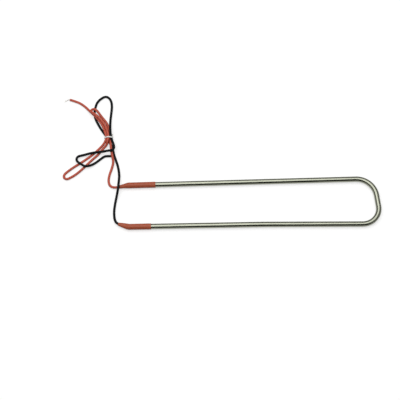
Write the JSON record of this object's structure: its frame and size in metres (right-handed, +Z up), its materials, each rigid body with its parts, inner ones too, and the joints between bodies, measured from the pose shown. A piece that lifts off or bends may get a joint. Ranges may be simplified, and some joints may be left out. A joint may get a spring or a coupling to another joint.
{
  "type": "tubular heating element",
  "caption": "Long narrow loop of steel-sheathed heating tube lying flat, with shrunk rubber sleeves on its ends and insulated leads gathered in a tied hank.",
  "frame": {"origin": "under the middle of the element, leads left out, on the surface it lies on", "axes": "+X along the legs towards the bend, +Y towards the live leg, +Z up from the surface"},
  "size_m": [0.3761, 0.1768, 0.0095],
  "materials": {
    "sheath_steel": "satin",
    "magnesia": "matte",
    "resistance_alloy": "satin",
    "pin_steel": "satin",
    "seal_resin": "matte",
    "tinned_crimp": "satin",
    "sealant": "gloss",
    "sleeve_rubber": "satin",
    "red_insulation": "satin",
    "black_insulation": "satin",
    "tinned_copper": "satin",
    "tie_plastic": "gloss"
  },
  "bodies": {
    "root": {"sheath_tube": "sheath_steel", "magnesia_fill": "magnesia", "resistance_coil": "resistance_alloy", "live_cold_pin": "pin_steel", "neutral_cold_pin": "pin_steel", "live_end_seal": "seal_resin", "neutral_end_seal": "seal_resin", "live_splice": "tinned_crimp", "neutral_splice": "tinned_crimp", "live_sealant": "sealant", "neutral_sealant": "sealant", "live_sleeve": "sleeve_rubber", "neutral_sleeve": "sleeve_rubber", "live_lead": "red_insulation", "neutral_lead": "black_insulation", "live_conductor": "tinned_copper", "neutral_conductor": "tinned_copper", "lead_tie": "tie_plastic"}
  },
  "joints": []
}
